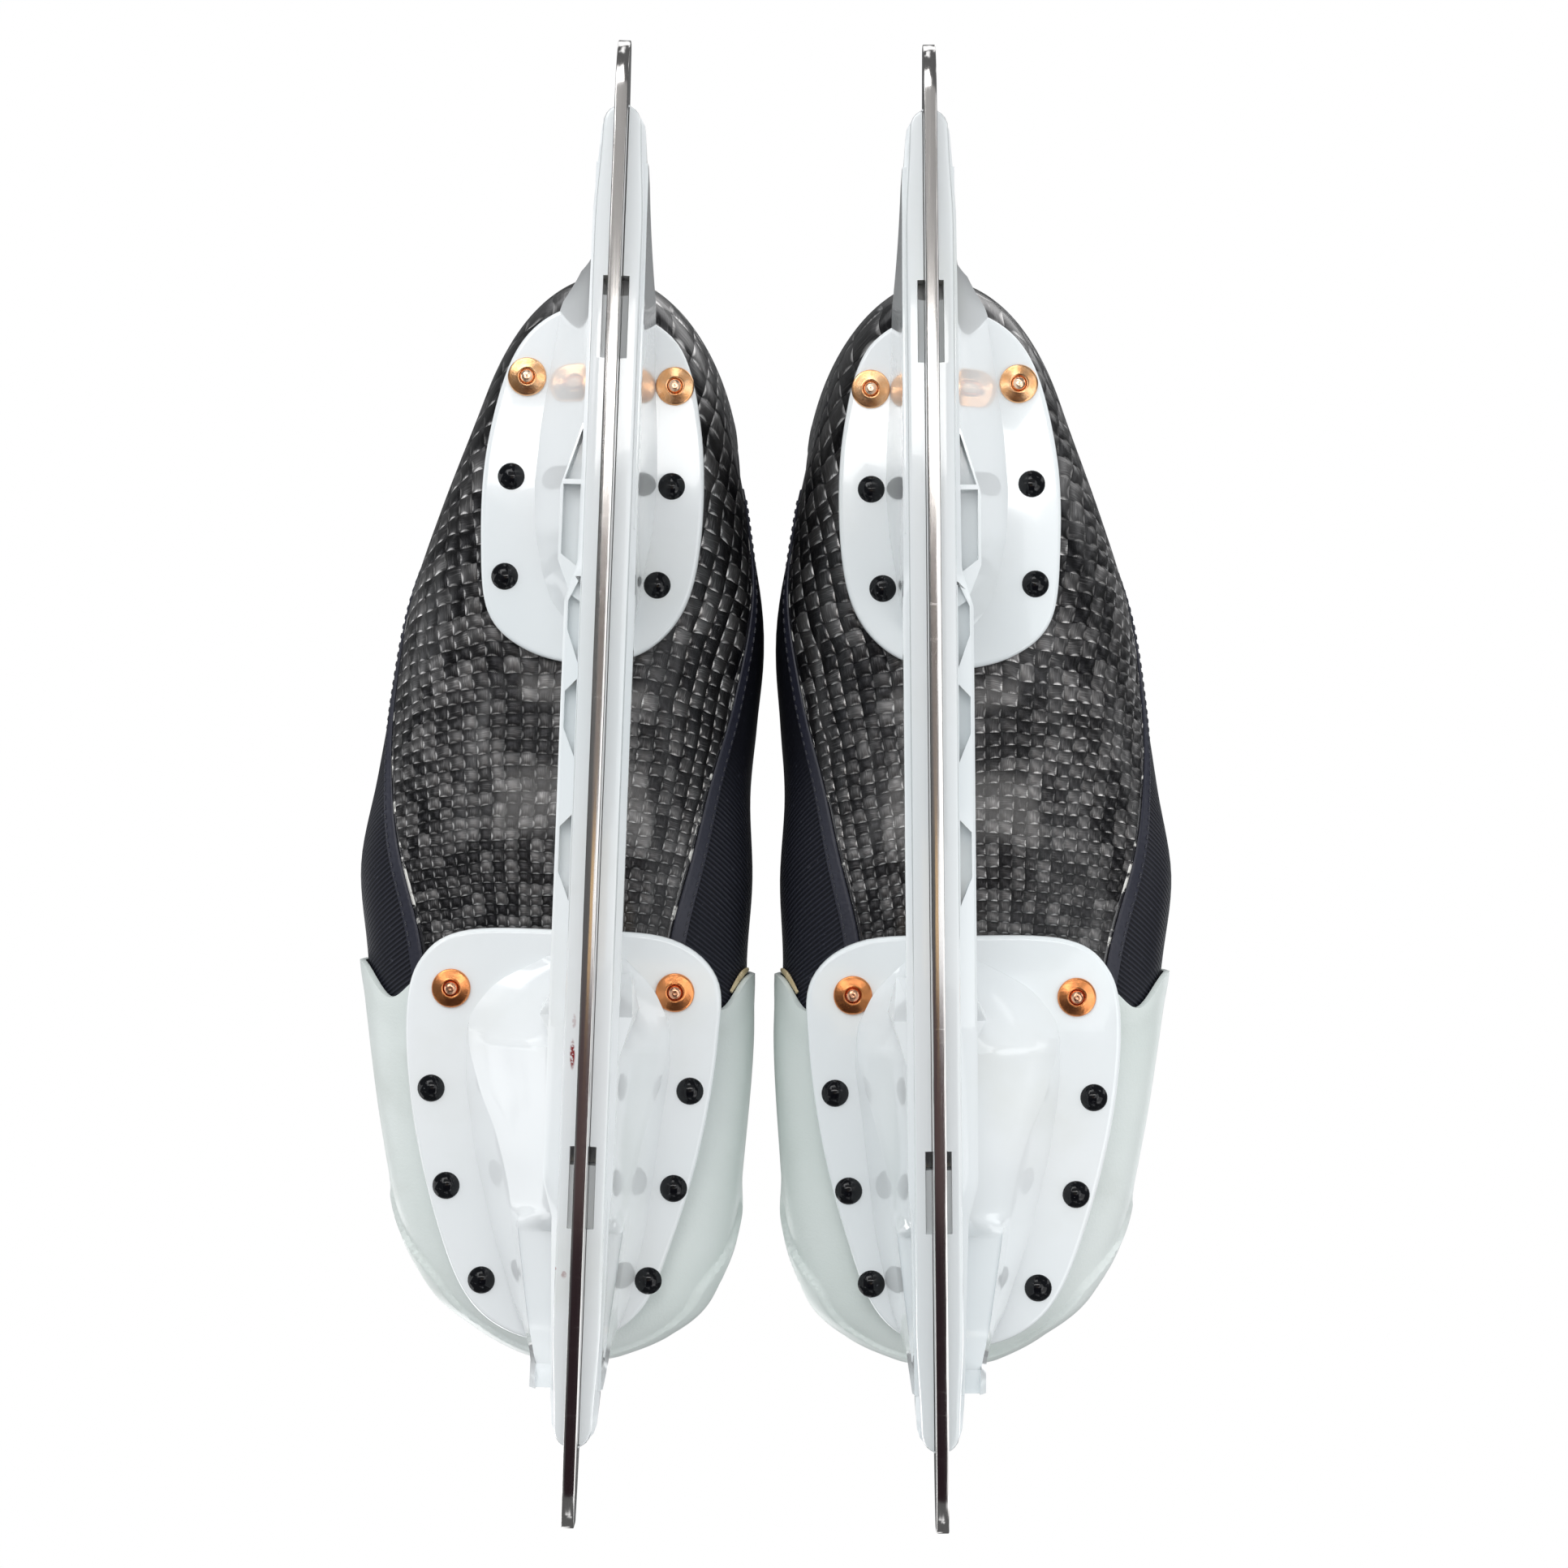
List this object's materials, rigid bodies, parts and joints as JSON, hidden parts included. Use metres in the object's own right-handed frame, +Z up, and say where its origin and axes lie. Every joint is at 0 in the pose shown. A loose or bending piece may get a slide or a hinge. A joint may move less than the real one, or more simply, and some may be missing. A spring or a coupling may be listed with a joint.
{
  "type": "pair of ice skates",
  "caption": "Pair of long-blade ice skates: composite boots with plastic toe caps, riveted plastic blade holders and removable steel runners.",
  "frame": {"origin": "on the ice between the two blades, under the middle of the pair", "axes": "+Z up, toes towards -Y, the wearer's left skate at +X"},
  "size_m": [0.2114, 0.357, 0.2119],
  "materials": {
    "white_plastic": "glossy moulded nylon",
    "blade_steel": "ground along the edge",
    "carbon_weave": "clear-coated carbon cloth",
    "cap_plastic": "satin pale plastic",
    "dark_skin": "ribbed dark synthetic skin",
    "tongue_skin": "padded felt and mesh",
    "lining": "brushed lining cloth",
    "copper": "bare copper",
    "black_steel": "black lacquered steel",
    "zinc": "zinc plated"
  },
  "bodies": {
    "left_skate": {"left_holder": "white_plastic", "left_carbon_shell": "carbon_weave", "left_toe_cap": "cap_plastic", "left_lateral_quarter": "dark_skin", "left_medial_quarter": "dark_skin", "left_tendon_guard": "dark_skin", "left_ankle_liner": "lining", "left_insole_board": "lining", "left_footbed": "lining", "left_front_runner_bolt": "zinc", "left_front_runner_nut": "zinc", "left_front_copper_rivet_1": "copper", "left_front_copper_rivet_2": "copper", "left_front_black_rivet_1": "black_steel", "left_front_black_rivet_2": "black_steel", "left_front_black_rivet_3": "black_steel", "left_front_black_rivet_4": "black_steel", "left_front_black_rivet_5": "black_steel", "left_front_black_rivet_6": "black_steel", "left_rear_runner_bolt": "zinc", "left_rear_runner_nut": "zinc", "left_rear_copper_rivet_1": "copper", "left_rear_copper_rivet_2": "copper", "left_rear_black_rivet_1": "black_steel", "left_rear_black_rivet_2": "black_steel", "left_rear_black_rivet_3": "black_steel", "left_rear_black_rivet_4": "black_steel"},
    "left_runner": {"left_runner": "blade_steel"},
    "left_tongue": {"left_tongue": "tongue_skin"},
    "right_skate": {"right_holder": "white_plastic", "right_carbon_shell": "carbon_weave", "right_toe_cap": "cap_plastic", "right_lateral_quarter": "dark_skin", "right_medial_quarter": "dark_skin", "right_tendon_guard": "dark_skin", "right_ankle_liner": "lining", "right_insole_board": "lining", "right_footbed": "lining", "right_front_runner_bolt": "zinc", "right_front_runner_nut": "zinc", "right_front_copper_rivet_1": "copper", "right_front_copper_rivet_2": "copper", "right_front_black_rivet_1": "black_steel", "right_front_black_rivet_2": "black_steel", "right_front_black_rivet_3": "black_steel", "right_front_black_rivet_4": "black_steel", "right_front_black_rivet_5": "black_steel", "right_front_black_rivet_6": "black_steel", "right_rear_runner_bolt": "zinc", "right_rear_runner_nut": "zinc", "right_rear_copper_rivet_1": "copper", "right_rear_copper_rivet_2": "copper", "right_rear_black_rivet_1": "black_steel", "right_rear_black_rivet_2": "black_steel", "right_rear_black_rivet_3": "black_steel", "right_rear_black_rivet_4": "black_steel"},
    "right_runner": {"right_runner": "blade_steel"},
    "right_tongue": {"right_tongue": "tongue_skin"}
  },
  "joints": [
    {"name": "right_skate_apart", "type": "slide", "parent": "left_skate", "child": "right_skate", "axis": [-1, 0, 0], "range_m": [0, 0.12]},
    {"name": "left_runner_out", "type": "slide", "parent": "left_skate", "child": "left_runner", "axis": [0, 0, -1], "range_m": [0, 0.03]},
    {"name": "left_tongue_flex", "type": "hinge", "parent": "left_skate", "child": "left_tongue", "pos_m": [0.05397, -0.0409, 0.1236], "axis": [0.9997, 0.0236, 0], "range_deg": [0, 40]},
    {"name": "right_runner_out", "type": "slide", "parent": "right_skate", "child": "right_runner", "axis": [0, 0, -1], "range_m": [0, 0.03]},
    {"name": "right_tongue_flex", "type": "hinge", "parent": "right_skate", "child": "right_tongue", "pos_m": [-0.05397, -0.0409, 0.1236], "axis": [0.9997, -0.0236, 0], "range_deg": [0, 40]}
  ]
}
